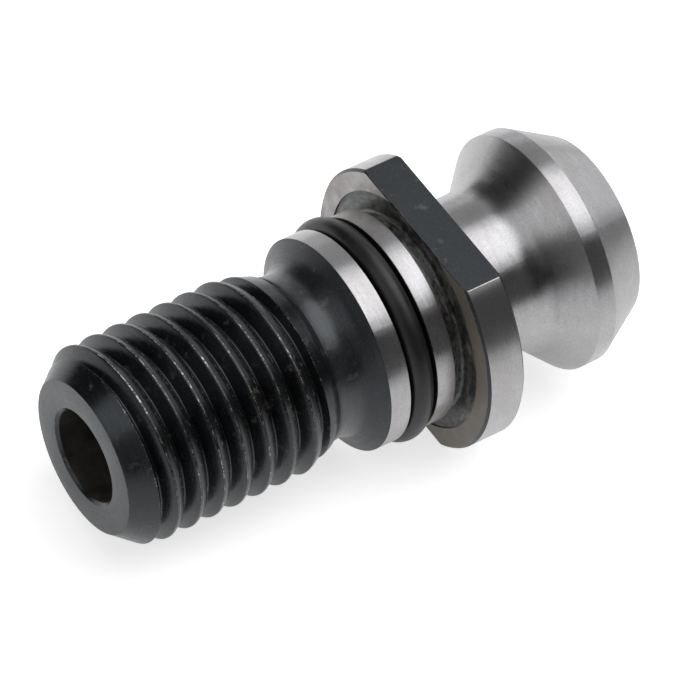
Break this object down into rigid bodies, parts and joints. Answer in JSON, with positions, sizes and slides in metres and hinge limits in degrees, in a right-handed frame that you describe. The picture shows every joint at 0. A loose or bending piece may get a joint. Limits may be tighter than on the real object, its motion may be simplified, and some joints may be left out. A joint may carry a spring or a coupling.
{
  "type": "pull stud",
  "caption": "Coolant-through pull stud for a 40-taper tool holder: threaded shank, sealed pilot, flatted collar, waisted neck and gripping head.",
  "frame": {"origin": "on the stud's axis, in the plane of the collar's seat face", "axes": "+X along the axis from the thread to the gripping head; +Z normal to the two wrench flats, so the stud lies as it does on a bench; +Y completes the right-handed set"},
  "size_m": [0.0445, 0.0224, 0.019],
  "materials": {
    "stud_steel": "black oxide, ground bright on the pilot lands, the seat, the collar's rim, the neck and the head",
    "seal_rubber": "satin moulded rubber"
  },
  "bodies": {
    "root": {"stud_body": "stud_steel", "o_ring": "seal_rubber"}
  },
  "joints": []
}
